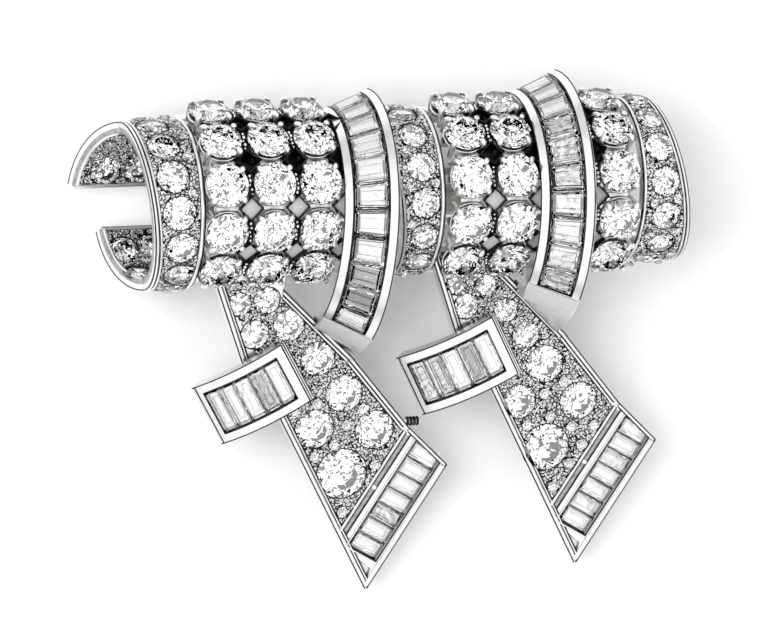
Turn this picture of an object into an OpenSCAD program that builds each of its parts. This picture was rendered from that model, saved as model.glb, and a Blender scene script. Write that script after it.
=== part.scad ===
// Double clip brooch: two clips that together look like a rolled ribbon with two tails and two buckles.
// X runs along the roll, Y towards the top of the brooch, Z away from the surface that it lies on.

/* [Roll] */
// Outer radius of the bands of the roll
band_r = 8.3; // [8:0.1:8.6]
// Thickness of the bands
wall = 1.1; // [0.9:0.1:1.3]
// Half of the slot that is open along the back, in degrees
slot_half = 15.5; // [12:0.5:20]
// Height of the roll's axis above the surface
axis_h = 11; // [10.8:0.1:12]

/* [Claw-set stones] */
// Diameter of a claw-set stone
stone_d = 4.2; // [3.8:0.1:4.4]
// Distance between neighbouring columns
pitch = 4.8; // [4.7:0.05:4.9]
// Angle between neighbouring rows
row_step = 30; // [29:0.5:31]
// Turn of the middle row towards the top
row_turn = 7; // [0:1:10]
// Distance of the girdles from the axis
girdle_r = 9.2; // [9:0.1:9.4]
// Clearance between each stone and its setting
gap = 0.12; // [0.1:0.01:0.14]

/* [Set bands] */
// Diameter of the stones of the left band
left_d = 3.3; // [2.8:0.1:3.3]
// Diameter of the stones of the middle and right bands
right_d = 3; // [2.6:0.1:3.1]
// Angle between neighbouring stones of a band
band_step = 25; // [25:1:30]

/* [Baguette arcs] */
// Radius of an arc's left edge
arc_r = 10.9; // [10.6:0.1:11.2]
// Radius of an arc's right edge
flare_r = 13.3; // [13:0.1:13.6]
// Width of an arc along the roll
arc_w = 4.8; // [4.5:0.1:5]
// Thickness of an arc
arc_t = 1.4; // [1.3:0.1:1.6]
// Angle of an arc's top end
arc_top = 84; // [78:1:86]
// Angle that each baguette takes
arc_step = 13.2; // [12.5:0.1:13.4]

/* [Tails] */
// Lean of the tails towards the surface
tail_lean = 17; // [15:0.5:18]
// Thickness of the tails
tail_t = 1.6; // [1.4:0.1:1.8]
// Distance between the two tails
tail_shift = 22.4; // [22:0.1:23]

/* [Buckles] */
// Radius to which a buckle is bent
buckle_r = 10.6; // [10:0.1:11.5]
// Width of a buckle
buckle_w = 6.5; // [6:0.1:7]
// Height of a buckle's face above the tail
buckle_lift = 2.5; // [2.4:0.1:2.7]

/* [Polished edges] */
// Width of the polished rims
rim = 0.9; // [0.7:0.05:1]

/* [Hidden] */
stone_rows = 5;
ROWS = [1:stone_rows];
$fn = 64;

// The model's middle, which stands over the origin
centre_x = 0.29;
centre_y = -14.33;
// Larger than any part of the brooch
far = 60;

// Left and right ends of the bands, where the right edge of a band is straight
left_end = -25.9;
left_band_right = -20.6;
middle_band_left = -0.6;
middle_band_right = 4.05;
right_band_left = 24.9;
right_end = 29.45;
// How much each cut end moves along the roll for each millimetre across it
left_cut_slope = -0.11;
middle_cut_slope = -0.12;
right_cut_slope = -0.165;
turned_top_slope = 0.42;
turned_bottom_slope = 0.31;

// The left band sits a little lower than the middle of the roll, and the right band a little higher
left_drop = -0.55;
right_rise = 0.4;

// Columns of claw-set stones
LEFT_COLUMNS = [-18.5, -18.5 + pitch, -18.5 + 2*pitch - 0.1];
RIGHT_COLUMNS = [6.6, 6.6 + pitch];
LAST_COLUMN = 22.2;

// Turn of the stones of each row towards the front, on top of their place round the roll
FACE_TURNS = [7, 0, 0, 0, -9];

// Openwork grid below the claw-set stones
rib_w = 1;
rib_inner = band_r - 1;
rib_outer = band_r - 0.15;
bar_w = 0.8;
bar_inner = band_r - 0.9;
bar_outer = band_r - 0.25;
rib_end = 95;
rail_r = 0.6;
rail_centre_r = band_r - 0.55;
collet_bottom = -1.65;
collet_top = -0.45;
collet_foot_r = 1.2;
collet_mouth_r = 1.95;

// Proportions of a round cut stone, as parts of its diameter
table_part = 0.58;
crown_part = 0.16;
girdle_part = 0.03;
pavilion_part = 0.43;
// Radius of the hole below a seat, as a part of the stone's diameter
hole_part = 0.24;
// The baguettes' crown height and pavilion depth
step_crown = 0.25;
step_pavilion = 0.7;
channel_depth = 0.95;

// Stones of the bands stand this far below the band's surface
sunk = 0.15;
LEFT_BAND_ANGLES = [for (i = [-4:3]) 19 + i*band_step];
MIDDLE_BAND_ANGLES = [for (i = [-4:3]) 16 + i*band_step];
RIGHT_BAND_ANGLES = [for (i = [-4:3]) 22 + i*band_step];
// Stones on the turned inner face: place along the roll, angle, diameter
TURNED_STONES = [[-26.7, 150, 3.1], [-23.3, 150, 3], [-25.2, -144, 2.9], [-22.5, -147, 2.5], [-24.6, -113, 3]];

// Each arc: place along the roll, height of its centre, lean in the plane of the brooch, baguettes
LEFT_ARC = [-7.3, -2.5, -4.7, 11];
RIGHT_ARC = [13.1, -1.4, -2.4, 10];
arc_bottom = -87;
web_t = 0.8;

// The tails' plane, from the height at which it leaves the roll
tail_y = -9;
tail_z = 3.2;
tail_rise = 1.5;
// Outline of the left tail, in its own plane, from the top left round by the tip
TAIL = [[-18.9, 1.8], [-15.2, -8.3], [-13.6, -9.2], [-1.2, -32.7], [6.7, -19.6], [2.4, -15.4],
    [-4, -7.7], [-11.5, -0.3], [-11.2, 1.8]];
// A corner on a tail's right edge and the edge's direction there, where the arc comes down on it
EDGE_CORNER = [-4, -7.7];
edge_turn = -44.6;
edge_inset = 0.5;
skirt_t = 0.8;
// Round stones of the left and the right tail: x, y and diameter
LEFT_TAIL_STONES = [[-15.9, -1.7, 2.4], [-13.1, -1.4, 2.7], [-14.2, -4.9, 2.9], [-10.7, -4.1, 3.2],
    [-7.5, -7.7, 3.5], [-4.6, -11.5, 3.8], [-7.5, -15.1, 4], [-1.2, -15.5, 4], [-4.4, -20, 5.2]];
RIGHT_TAIL_STONES = [[-16, -1.9, 2.4], [-12.7, -2.3, 2.2], [-14.7, -4.4, 2.6], [-10.4, -5, 2.5],
    [-8.1, -7.7, 2.8], [-5.9, -10.9, 3.9], [-8.4, -14.8, 3.6], [-2, -15, 3.9], [-5.2, -19.8, 4.9]];

// The end frame of a tail: its upper corner and the direction along it
END_CORNER = [2.9, -16];
end_turn = -121.2;
end_count = 7;
end_pitch = 1.8;
end_start = 0.6;
end_rim = 0.75;
end_channel_w = 3.6;
// The slot beside the end frame: width, and the stretches between its small bars
slot_w = 0.57;
SLOTS = [[0.5, 6.4], [7.2, 9.4], [10.2, 12.3]];
// The small sunk triangle at the tip, along and across the end frame
TIP_FACET = [[13.7, 0.95], [14.2, 4.3], [15.7, 4.7]];
facet_depth = 0.3;

// Each buckle: middle of its right edge, turn in the plane of the brooch, angle of its bend, baguettes
LEFT_BUCKLE = [[-10.6, -8.3], 28, 47, 5];
RIGHT_BUCKLE = [[-11.2, -7.95], 25.5, 51, 5];
buckle_t = 1.5;
// Degrees by which the buckles lie flatter than the tails
buckle_rise = 11;
buckle_right = 8;
buckle_end = 5;

// Locating peg on the right edge of the left tail
PEG = [1.5, -15.2, -1.2];
peg_r = 0.35;
peg_l = 2.4;

// The flap behind a tail: its root and end in the tail's plane, and its side view
FLAP_ROOT = [-12.3, -3.2];
FLAP_END = [-2, -23.2];
flap_w = 5;
flap_seat = 0.15;
flap_from = 0.4;
flap_step = 3.4;

// The plate and the pin behind the roll
frame_l = 42;
frame_w = 4.4;
frame_t = 0.8;
frame_z = -band_r - 0.03;
pin_r = 0.45;
pin_z = -10.35;
block_x = 19;
block_w = 3;
block_l = 2.4;

// Girdle centres of the claw-set stones, from the top row down
function row_angle(row) = row_turn + row_step*((stone_rows + 1)/2 - row);

// Middle of a left band stone, which follows the slanted left end
function left_band_x(angle) = -23.3 - 0.12*band_r*sin(angle);
function middle_band_x(angle) = 1.9 - 0.06*band_r*sin(angle);
function right_band_x(angle) = 27.25 - 0.08*band_r*sin(angle);

// Angle by which an arc's face leans outwards, and the face's width
arc_slant = atan2(flare_r - arc_r, arc_w);
arc_face = norm([flare_r - arc_r, arc_w]);

// Places its children in the frame of the roll's axis
module on_axis() {
    translate([-centre_x, -centre_y, axis_h])
        children();
}

// Places its children on the roll: z points outwards at the angle from the front towards the top
module on_roll(x, angle, r) {
    translate([x, 0, 0])
        rotate([-angle, 0, 0])
            translate([0, 0, r])
                children();
}

// Turns a section, given as radius and place along the roll, from one angle to another
module sweep(from, to) {
    rotate([0, 90, 0])
        rotate([0, 0, 180 - to])
            rotate_extrude(angle = to - from, $fn = 128)
                children();
}

module on_left_band() {
    translate([0, left_drop, 0])
        children();
}

module on_right_band() {
    translate([0, right_rise, 0])
        children();
}

// Places its children at the girdle of a claw-set stone
module on_girdle(x, row) {
    on_roll(x, row_angle(row), girdle_r)
        rotate([FACE_TURNS[row - 1], 0, 0])
            children();
}

// Places its children in the plane of the left tail, or of the right one
module on_tail(side) {
    translate([0, tail_y, tail_z])
        rotate([tail_lean, 0, 0])
            translate([side*tail_shift, side*tail_rise, 0])
                children();
}

// Places its children along the right edge of a tail: x runs down along it, y points off the tail
module on_tail_edge(side) {
    on_tail(side)
        translate([EDGE_CORNER.x, EDGE_CORNER.y, 0])
            rotate([0, 0, edge_turn])
                children();
}

// Places its children along the end frame of a tail: x runs along it, y across it
module on_end_frame() {
    translate([END_CORNER.x, END_CORNER.y, 0])
        rotate([0, 0, end_turn])
            children();
}

// Places its children in the frame of an arc
module on_arc(arc) {
    translate([arc[0], arc[1], 0])
        rotate([0, 0, arc[2]])
            children();
}

// A seat for a round stone whose girdle is at height 0, with a hole below it
module seat(d) {
    depth = 1.2*d + 1;
    slope_drop = 1.3*gap;
    rotate_extrude($fn = 32)
        polygon([
            [0, -depth],
            [hole_part*d, -depth],
            [hole_part*d, -pavilion_part*d*(1 - 2*hole_part) - slope_drop],
            [d/2 + gap, 0.86*gap - slope_drop],
            [d/2 + gap, 1.5],
            [0, 1.5]
        ]);
}

function ring(count, r, z, turn = 0) =
    [for (i = [0:count - 1]) [r*cos(turn + i*360/count), r*sin(turn + i*360/count), z]];

// A brilliant with an eight-sided table and a sixteen-sided girdle at height 0
module brilliant(d) {
    n = 16;
    girdle_top = girdle_part*d;
    points = concat(
        ring(8, table_part*d/2, girdle_top + crown_part*d),
        ring(n, d/2, girdle_top),
        ring(n, d/2, 0),
        [[0, 0, -pavilion_part*d]]
    );
    upper = 8;
    lower = upper + n;
    culet = lower + n;
    polyhedron(points, concat(
        [[for (i = [7:-1:0]) i]],
        [for (i = [0:7]) [i, upper + 2*i, upper + (2*i + 15) % n]],
        [for (i = [0:7]) [i, upper + 2*i + 1, upper + 2*i]],
        [for (i = [0:7]) [i, (i + 1) % 8, upper + 2*i + 1]],
        [for (i = [0:n - 1]) [upper + i, upper + (i + 1) % n, lower + (i + 1) % n, lower + i]],
        [for (i = [0:n - 1]) [lower + i, lower + (i + 1) % n, culet]]
    ));
}

// A small round stone with an eight-sided table and eight sides, girdle at height 0
module small_brilliant(d) {
    points = concat(
        ring(8, table_part*d/2, crown_part*d),
        ring(8, d/2, 0),
        [[0, 0, -pavilion_part*d]]
    );
    polyhedron(points, concat(
        [[for (i = [7:-1:0]) i]],
        [for (i = [0:7]) [i, (i + 1) % 8, 8 + (i + 1) % 8, 8 + i]],
        [for (i = [0:7]) [8 + i, 8 + (i + 1) % 8, 16]]
    ));
}

// A step-cut stone: length along x, its widths at the near and far ends, table at height 0
module baguette(l, near_w, far_w) {
    step = 0.35;
    keel = l/2 - step - 0.3;
    points = [
        [-l/2 + step, -near_w/2 + step, 0], [l/2 - step, -far_w/2 + step, 0],
        [l/2 - step, far_w/2 - step, 0], [-l/2 + step, near_w/2 - step, 0],
        [-l/2, -near_w/2, -step_crown], [l/2, -far_w/2, -step_crown],
        [l/2, far_w/2, -step_crown], [-l/2, near_w/2, -step_crown],
        [-keel, 0, -step_pavilion], [keel, 0, -step_pavilion]
    ];
    polyhedron(points, [
        [3, 2, 1, 0],
        [0, 1, 5, 4], [1, 2, 6, 5], [2, 3, 7, 6], [3, 0, 4, 7],
        [4, 5, 9, 8], [6, 7, 8, 9],
        [5, 6, 9], [7, 4, 8]
    ]);
}

// A stretch of the rolled band, open along the back
module band(left, right) {
    sweep(slot_half - 180, 180 - slot_half)
        translate([band_r - wall, left])
            square([wall, right - left]);
}

// Cuts away everything left of a line that crosses the roll at x with the given slope
module cut_left_of(x, slope) {
    translate([0, 0, -far/2])
        linear_extrude(far)
            polygon([[x + slope*far, far], [x - slope*far, -far], [-far, -far], [-far, far]]);
}

module cut_right_of(x, slope) {
    translate([0, 0, -far/2])
        linear_extrude(far)
            polygon([[x + slope*far, far], [x - slope*far, -far], [far, -far], [far, far]]);
}

// Cuts the left end: slanted in front, and longer at the back where the ribbon turns in
module left_end_cut() {
    top_x = left_end + left_cut_slope*band_r;
    bottom_x = left_end - left_cut_slope*band_r;
    intersection() {
        cut_left_of(left_end, left_cut_slope);
        translate([-far, -far/2, 0])
            cube([2*far, far, far/2]);
    }
    turned_cut(top_x, turned_top_slope, far/2);
    turned_cut(bottom_x, turned_bottom_slope, 0);
}

module turned_cut(x, slope, top_y) {
    translate([0, top_y, 0])
        rotate([90, 0, 0])
            linear_extrude(far/2)
                polygon([[x, 0], [x - slope*far, -far], [-2*far, -far], [-2*far, 0]]);
}

// Ribs, bars, rails and collets below the claw-set stones of some columns
module grid(columns, left, right) {
    for (x = columns) {
        sweep(-rib_end, rib_end)
            translate([rib_inner, x - rib_w/2])
                square([rib_outer - rib_inner, rib_w]);
        for (row = ROWS)
            on_girdle(x, row)
                collet();
    }
    for (row = ROWS)
        on_roll(0, row_angle(row), 0)
            translate([left, -bar_w/2, bar_inner])
                cube([right - left, bar_w, bar_outer - bar_inner]);
    for (angle = [-rib_end, rib_end])
        on_roll(left, angle, rail_centre_r)
            rotate([0, 90, 0])
                cylinder(r = rail_r, h = right - left, $fn = 32);
}

module collet() {
    rotate_extrude($fn = 32)
        polygon([[0, collet_bottom], [collet_foot_r, collet_bottom], [collet_mouth_r, collet_top], [0, collet_top]]);
}

module grid_seats(columns) {
    for (x = columns, row = ROWS)
        on_girdle(x, row)
            seat(stone_d);
}

// The flaring channel of an arc and its plain lower end, which stops along the tail's right edge
module arc_body(arc, side) {
    channel_end = arc_top - arc[3]*arc_step;
    difference() {
        on_arc(arc)
            sweep(arc_bottom, arc_top)
                arc_section(0, arc_face, arc_t, 0);
        on_arc(arc)
            sweep(channel_end - 0.5, arc_top + 5)
                arc_section(rim, arc_face - rim, channel_depth, -1);
        on_tail_edge(side)
            translate([-16, -12 - edge_inset, -5])
                cube([26, 12, 17]);
    }
}

// The wall that stands on the tail's edge and carries the arc's lower end
module arc_skirt(arc, side) {
    intersection() {
        on_arc(arc)
            sweep(arc_bottom, -30)
                polygon([[band_r, 0.2], [arc_r - 0.4, 0.2], [flare_r - 0.4, arc_w - 0.2], [band_r, arc_w - 0.2]]);
        on_tail_edge(side)
            translate([-12, -edge_inset, -tail_t/2])
                cube([18, skirt_t, 9]);
    }
}

// A strip of the arc's section: its ends along the slanted face, its depth and its top
module arc_section(from, to, depth, top) {
    translate([arc_r, 0])
        rotate(-arc_slant)
            translate([-depth, from])
                square([depth - top, to - from]);
}

module arc_web(arc) {
    web_x = 1.7;
    difference() {
        on_arc(arc)
            sweep(arc_bottom + 8, arc_top - 4)
                translate([band_r - 4, web_x])
                    square([arc_r - band_r + 4 - 0.4, web_t]);
        translate([arc[0] - arc_w, 0, 0])
            rotate([0, 90, 0])
                cylinder(r = band_r - wall + 0.05, h = 3*arc_w, $fn = 128);
    }
    sweep(slot_half - 180, 180 - slot_half)
        translate([band_r - 0.9, arc[0] + web_x - 0.2])
            square([0.85, web_t + 0.4]);
}

module arc_baguettes(arc) {
    near_w = (arc_r + rim*sin(arc_slant))*arc_step*PI/180;
    far_w = (flare_r - rim*sin(arc_slant))*arc_step*PI/180;
    length = arc_face - 2*rim - 2*gap;
    on_arc(arc)
        for (i = [0:arc[3] - 1])
            on_roll(arc_w/2, arc_top - (i + 0.5)*arc_step, (arc_r + flare_r)/2)
                rotate([0, -arc_slant, 0])
                    baguette(length, near_w - 1.2*gap - 0.12, far_w - 1.2*gap - 0.12);
}

// A tail with its end frame, seats and slot
module tail_body(side, stones) {
    on_tail(side)
        difference() {
            translate([0, 0, -tail_t])
                linear_extrude(tail_t)
                    polygon(TAIL);
            for (stone = stones)
                translate([stone.x, stone.y, -0.05])
                    seat(stone.z);
            on_end_frame() {
                for (slot = SLOTS)
                    translate([slot[0], -slot_w - 0.05, -tail_t - 1])
                        cube([slot[1] - slot[0], slot_w, tail_t + 2]);
                translate([end_start - gap, end_rim, -channel_depth])
                    cube([end_count*end_pitch + 2*gap, end_channel_w, 2]);
                translate([0, 0, -facet_depth])
                    linear_extrude(1)
                        polygon(TIP_FACET);
            }
        }
}

module tail_stones(side, stones) {
    on_tail(side)
        for (stone = stones)
            translate([stone.x, stone.y, -0.05])
                small_brilliant(stone.z);
}

module end_baguettes(side) {
    on_tail(side)
        on_end_frame()
            for (i = [0:end_count - 1])
                translate([end_start + (i + 0.5)*end_pitch, end_rim + end_channel_w/2, 0])
                    rotate([0, 0, 90])
                        baguette(end_channel_w - 2*gap, end_pitch - gap, end_pitch - gap);
}

// Places its children on a buckle, which lies flatter than the leaning tail: y runs across it
module on_buckle(buckle) {
    translate([buckle[0].x, buckle[0].y, buckle_lift])
        rotate([-buckle_rise, 0, 0])
            rotate([0, 0, buckle[1]])
                translate([-buckle_r*sin(buckle_right), 0, -buckle_r])
                    children();
}

module bend(from, to) {
    rotate([-90, 0, 0])
        rotate([0, 0, from - 90])
            rotate_extrude(angle = to - from, $fn = 128)
                children();
}

module buckle_body(buckle) {
    on_buckle(buckle) {
        difference() {
            bend(-buckle[2], buckle_right)
                translate([buckle_r - buckle_t, -buckle_w/2])
                    square([buckle_t, buckle_w]);
            bend(buckle_end - buckle[2], buckle_right - buckle_end)
                translate([buckle_r - channel_depth, rim - buckle_w/2])
                    square([2, buckle_w - 2*rim]);
        }
        translate([0.4, 0.1 - buckle_w/2, buckle_r - buckle_lift - tail_t/2])
            cube([0.9, buckle_w - 0.2, buckle_lift - buckle_t + tail_t/2 + 0.4]);
    }
}

module buckle_baguettes(buckle) {
    step = (buckle_right + buckle[2] - 2*buckle_end)/buckle[3];
    width = buckle_r*step*PI/180 - 1.5*gap;
    on_buckle(buckle)
        for (i = [0:buckle[3] - 1])
            rotate([0, buckle_right - buckle_end - (i + 0.5)*step, 0])
                translate([0, 0, buckle_r])
                    rotate([0, 0, 90])
                        baguette(buckle_w - 2*rim - 2*gap, width, width);
}

module peg() {
    on_tail(0)
        translate(PEG)
            rotate([0, 90, 0])
                cylinder(r = peg_r, h = peg_l, $fn = 24);
}

module clip_mount_left() {
    color("gainsboro")
        on_axis()
            difference() {
                union() {
                    on_left_band()
                        band(-far/2 - 4, left_band_right);
                    grid(LEFT_COLUMNS, left_band_right - 0.3, LEFT_ARC[0] + 2);
                    arc_web(LEFT_ARC);
                    arc_body(LEFT_ARC, 0);
                    arc_skirt(LEFT_ARC, 0);
                    tail_body(0, LEFT_TAIL_STONES);
                    on_tail(0)
                        buckle_body(LEFT_BUCKLE);
                    peg();
                }
                grid_seats(LEFT_COLUMNS);
                on_left_band() {
                    left_end_cut();
                    for (angle = LEFT_BAND_ANGLES)
                        on_roll(left_band_x(angle), angle, band_r - sunk)
                            seat(left_d);
                    for (stone = TURNED_STONES)
                        on_turned_face(stone)
                            seat(stone[2]);
                }
            }
}

module clip_mount_right() {
    color("gainsboro")
        on_axis()
            difference() {
                union() {
                    band(middle_band_left - 1.2, middle_band_right);
                    on_right_band()
                        band(right_band_left, right_end + 1.6);
                    grid([each RIGHT_COLUMNS, LAST_COLUMN], middle_band_right - 0.3, right_band_left + 0.3);
                    arc_web(RIGHT_ARC);
                    arc_body(RIGHT_ARC, 1);
                    arc_skirt(RIGHT_ARC, 1);
                    tail_body(1, RIGHT_TAIL_STONES);
                    on_tail(1)
                        buckle_body(RIGHT_BUCKLE);
                }
                cut_left_of(middle_band_left, middle_cut_slope);
                cut_right_of(right_end, right_cut_slope);
                grid_seats([each RIGHT_COLUMNS, LAST_COLUMN]);
                for (angle = MIDDLE_BAND_ANGLES)
                    on_roll(middle_band_x(angle), angle, band_r - sunk)
                        seat(right_d);
                on_right_band()
                    for (angle = RIGHT_BAND_ANGLES)
                        on_roll(right_band_x(angle), angle, band_r - sunk)
                            seat(right_d);
            }
}

// Places its children on the inner face of the band, facing the axis
module on_turned_face(stone) {
    on_roll(stone[0], stone[1], band_r - wall + sunk)
        rotate([180, 0, 0])
            children();
}

module clip_flap(side) {
    run = FLAP_END - FLAP_ROOT;
    length = norm(run);
    color("silver")
        difference() {
            on_axis()
                on_tail(side)
                    translate([FLAP_ROOT.x, FLAP_ROOT.y, 0])
                        rotate([0, 0, atan2(run.y, run.x)])
                            translate([0, flap_w/2, 0])
                                rotate([90, 0, 0])
                                    linear_extrude(flap_w)
                                        polygon([
                                            [flap_from, -tail_t - flap_seat],
                                            [flap_step, -tail_t - flap_seat],
                                            [flap_step, -4.2],
                                            [length, -6.1],
                                            [length, -8.4],
                                            [flap_from, -5.1]
                                        ]);
            translate([-far, -far, -far])
                cube([2*far, 2*far, far]);
        }
}

module brooch_frame() {
    color("silver")
        on_axis() {
            translate([-frame_l/2, -frame_w/2, frame_z - frame_t])
                cube([frame_l, frame_w, frame_t]);
            for (x = [-block_x, block_x])
                translate([x - block_l/2, -block_w/2, -axis_h])
                    cube([block_l, block_w, axis_h + frame_z - frame_t/2]);
            translate([-block_x, 0, pin_z])
                rotate([0, 90, 0])
                    cylinder(r = pin_r, h = 2*block_x + 1, $fn = 24);
        }
}

module round_stone(x, row) {
    color("white")
        on_axis()
            on_girdle(x, row)
                brilliant(stone_d);
}

module band_stones(y, xs, angles, d) {
    color("white")
        on_axis()
            translate([0, y, 0])
                for (i = [0:len(angles) - 1])
                    on_roll(xs[i], angles[i], band_r - sunk)
                        small_brilliant(d);
}

module pave_turn_left() {
    color("white")
        on_axis()
            on_left_band()
                for (stone = TURNED_STONES)
                    on_turned_face(stone)
                        small_brilliant(stone[2]);
}

clip_mount_left();
clip_mount_right();
clip_flap(0);  // clip_flap_left
clip_flap(1);  // clip_flap_right
brooch_frame();
for (row = ROWS, column = [1:3])
    round_stone(LEFT_COLUMNS[column - 1], row);
for (row = ROWS, column = [1:2])
    round_stone(RIGHT_COLUMNS[column - 1], row);
for (row = ROWS)
    round_stone(LAST_COLUMN, row);
band_stones(left_drop, [for (angle = LEFT_BAND_ANGLES) left_band_x(angle)], LEFT_BAND_ANGLES, left_d);  // pave_band_left
pave_turn_left();
band_stones(0, [for (angle = MIDDLE_BAND_ANGLES) middle_band_x(angle)], MIDDLE_BAND_ANGLES, right_d);  // pave_band_middle
band_stones(right_rise, [for (angle = RIGHT_BAND_ANGLES) right_band_x(angle)], RIGHT_BAND_ANGLES, right_d);  // pave_band_right
color("white") on_axis() tail_stones(0, LEFT_TAIL_STONES);  // pave_tail_left
color("white") on_axis() tail_stones(1, RIGHT_TAIL_STONES);  // pave_tail_right
color("white") on_axis() arc_baguettes(LEFT_ARC);  // baguettes_arc_left
color("white") on_axis() arc_baguettes(RIGHT_ARC);  // baguettes_arc_right
color("white") on_axis() on_tail(0) buckle_baguettes(LEFT_BUCKLE);  // baguettes_buckle_left
color("white") on_axis() on_tail(1) buckle_baguettes(RIGHT_BUCKLE);  // baguettes_buckle_right
color("white") on_axis() end_baguettes(0);  // baguettes_end_left
color("white") on_axis() end_baguettes(1);  // baguettes_end_right
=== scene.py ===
import math
import random

import bpy
import bmesh
from mathutils import Matrix, Vector


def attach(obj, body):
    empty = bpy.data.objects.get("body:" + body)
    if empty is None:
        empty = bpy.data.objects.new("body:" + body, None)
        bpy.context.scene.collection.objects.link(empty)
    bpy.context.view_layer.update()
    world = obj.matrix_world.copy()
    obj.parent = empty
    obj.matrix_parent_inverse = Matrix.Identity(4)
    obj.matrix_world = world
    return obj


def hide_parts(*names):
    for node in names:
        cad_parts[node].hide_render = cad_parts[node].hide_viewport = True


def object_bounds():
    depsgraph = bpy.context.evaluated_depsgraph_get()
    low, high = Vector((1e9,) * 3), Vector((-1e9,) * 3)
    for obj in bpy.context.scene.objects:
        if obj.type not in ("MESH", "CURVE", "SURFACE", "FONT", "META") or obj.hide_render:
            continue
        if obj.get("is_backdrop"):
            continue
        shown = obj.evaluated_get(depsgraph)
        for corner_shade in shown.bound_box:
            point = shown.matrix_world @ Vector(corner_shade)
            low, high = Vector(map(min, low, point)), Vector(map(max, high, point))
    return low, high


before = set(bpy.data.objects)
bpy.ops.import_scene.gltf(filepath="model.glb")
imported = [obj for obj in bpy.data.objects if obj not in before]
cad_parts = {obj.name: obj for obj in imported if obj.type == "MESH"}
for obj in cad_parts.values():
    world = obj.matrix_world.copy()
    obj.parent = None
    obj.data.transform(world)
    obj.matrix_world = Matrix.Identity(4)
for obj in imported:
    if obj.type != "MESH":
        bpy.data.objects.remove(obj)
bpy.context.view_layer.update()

# The view
# The brooch lies face up on a pale surface and is seen from above, leaning a little to its left,
# with a long lens. Sizes are in millimetres from the roll's axis, but the sheet's and lamp's in metres.

MM = 0.001
ROLL_AXIS = Vector((-0.29, 14.33, 11.0))
CAMERA_LEAN = math.radians(17.7)
CAMERA_ROLL = math.radians(2.1)
CAMERA_DISTANCE = 520.0
PICTURE_WIDTH = 76.2
BELOW_AXIS = 12.4

camera_back = Vector((-math.sin(CAMERA_LEAN), 0, math.cos(CAMERA_LEAN)))
level_right = Vector((math.cos(CAMERA_LEAN), 0, math.sin(CAMERA_LEAN)))
level_up = Vector((0, 1, 0))
camera_up = math.sin(CAMERA_ROLL) * level_right + math.cos(CAMERA_ROLL) * level_up
eye = ROLL_AXIS + CAMERA_DISTANCE * camera_back
look = (ROLL_AXIS - BELOW_AXIS * camera_up - eye).normalized()
side = look.cross(camera_up).normalized()
above = side.cross(look)
camera_data = bpy.data.cameras.new("view")
camera = bpy.data.objects.new("view", camera_data)
bpy.context.scene.collection.objects.link(camera)
camera_data.sensor_width = 36
camera_data.lens = 36 * CAMERA_DISTANCE / PICTURE_WIDTH
camera_data.clip_start = 0.05
camera_data.clip_end = 10
turn = Matrix((side, above, -look)).transposed().to_4x4()
camera.matrix_world = Matrix.Translation(eye * MM) @ turn
bpy.context.scene.camera = camera


# The surface and the light
# A sheet of white paper inside a white tent, with one soft lamp at the upper left. The tent's panels
# are joined by narrow black tape, which the stones and the metal mirror as fine dark lines.

def from_hex(text):
    parts = [int(text[i:i + 2], 16) / 255 for i in (1, 3, 5)]
    return [p / 12.92 if p <= 0.04045 else ((p + 0.055) / 1.055) ** 2.4 for p in parts] + [1.0]


# Adds a node: what comes from another node is linked, and any other input is set
def add_node(tree, kind, settings=None, inputs=None):
    made = tree.nodes.new("ShaderNode" + kind)
    for name, value in (settings or {}).items():
        setattr(made, name, value)
    for name, value in (inputs or {}).items():
        if isinstance(value, bpy.types.NodeSocket):
            tree.links.new(value, made.inputs[name])
        else:
            made.inputs[name].default_value = value
    return made


# Starts a material, and gives its nodes and each point's place on the piece
def new_material(name):
    material = bpy.data.materials.new(name)
    material.use_nodes = True
    tree = material.node_tree
    tree.nodes.clear()
    return material, tree, add_node(tree, "TexCoord").outputs["Object"]


# Drawing paper, pressed smooth: matt, with a faint cloudiness of its fibres
CLOUDS_PER_MM = 0.6
paper, tree, where = new_material("white_paper")
fibre = add_node(tree, "TexNoise", {}, {"Vector": where, "Scale": CLOUDS_PER_MM / MM, "Detail": 3.0})
tone = add_node(tree, "ValToRGB", {}, {"Fac": fibre.outputs["Fac"]})
tone.color_ramp.elements[0].color = from_hex("#F8F8F8")
tone.color_ramp.elements[1].color = from_hex("#FDFDFD")
shade = add_node(tree, "BsdfPrincipled", {}, {"Base Color": tone.outputs[0], "Roughness": 0.9})
add_node(tree, "OutputMaterial", {}, {"Surface": shade.outputs[0]})

SHEET_SIZE = 3


def clear_selection():
    bpy.ops.object.select_all(action="DESELECT")


clear_selection()
bpy.ops.mesh.primitive_plane_add(size=SHEET_SIZE, location=(0, 0, 0))
surface = bpy.context.object
surface.name = "surface"
surface.data.materials.append(paper)
surface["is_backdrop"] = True
bpy.context.scene.view_settings.view_transform = "Standard"

# The tent's light, how fine its panels are, the width of the tape and the height where the tent ends
TENT_BRIGHTNESS = 1.65
PANEL_COUNT = 4.5
TAPE_WIDTH = 0.05
LOW_EDGE = 0.1
# What matt surfaces get in the tent's place
EVEN_LIGHT = 0.68
LAMP_POWER = 2.0
LAMP_SIZE = 0.28
LAMP_PLACE = (-0.3, 0.03, 0.5)

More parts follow.
